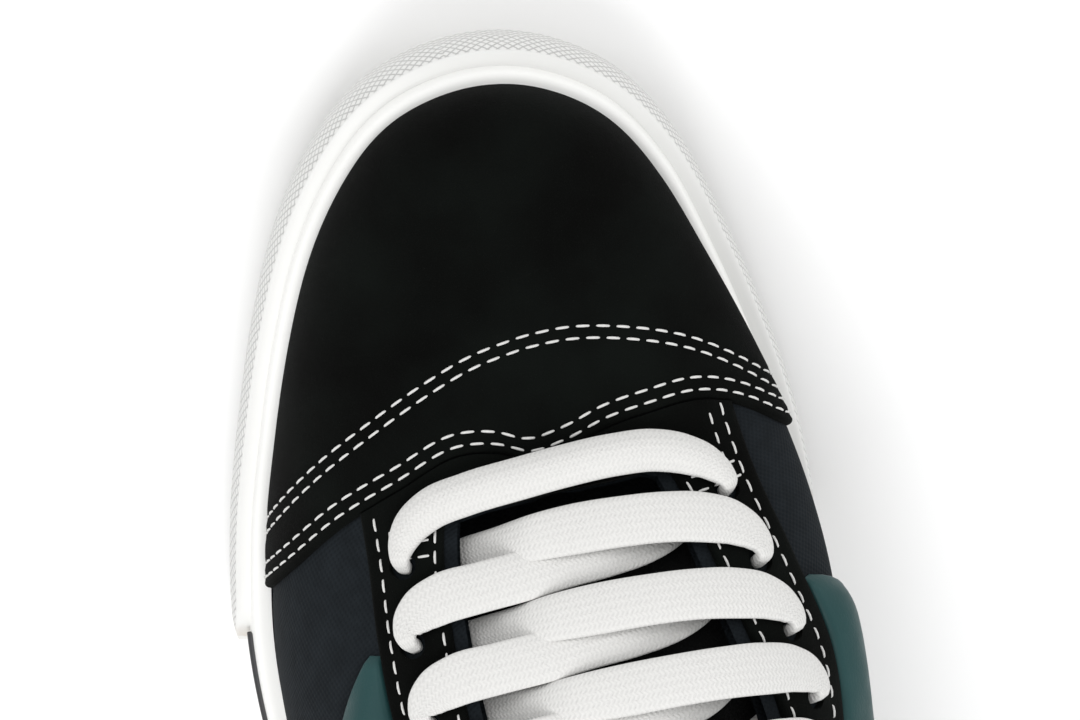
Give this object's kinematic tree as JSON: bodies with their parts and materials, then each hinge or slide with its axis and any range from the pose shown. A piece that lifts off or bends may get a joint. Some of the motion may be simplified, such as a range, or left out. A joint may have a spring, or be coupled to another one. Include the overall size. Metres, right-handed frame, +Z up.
{
  "type": "skateboarding shoe",
  "caption": "Low skateboarding shoe with a canvas and suede upper, a padded collar, flat laces and a vulcanised rubber sole with a toe bumper.",
  "frame": {"origin": "on the floor, below the middle of the shoe's length and width", "axes": "+Z up, +Y to the toe, +X to the inner (medial) side of the left foot"},
  "size_m": [0.1136, 0.3, 0.1174],
  "materials": {
    "outsole": "matt",
    "foxing": "smooth, softly glossy",
    "stripe": "smooth",
    "bumper": "fine crossed ribs",
    "canvas": "tight navy weave",
    "suede": "napped black suede",
    "collar": "smooth dark green, padded",
    "tongue": "napped black textile",
    "insole": "matt textile",
    "lace": "flat white braid"
  },
  "bodies": {
    "root": {"outsole": "outsole", "foxing": "foxing", "foxing_stripe_outer": "stripe", "foxing_stripe_inner": "stripe", "toe_bumper": "bumper", "heel_strip": "foxing", "upper": "canvas", "toe_cap": "suede", "eyestay": "suede", "collar": "collar", "heel_counter": "suede", "tongue": "tongue", "insole": "insole", "lace": "lace"}
  },
  "joints": []
}
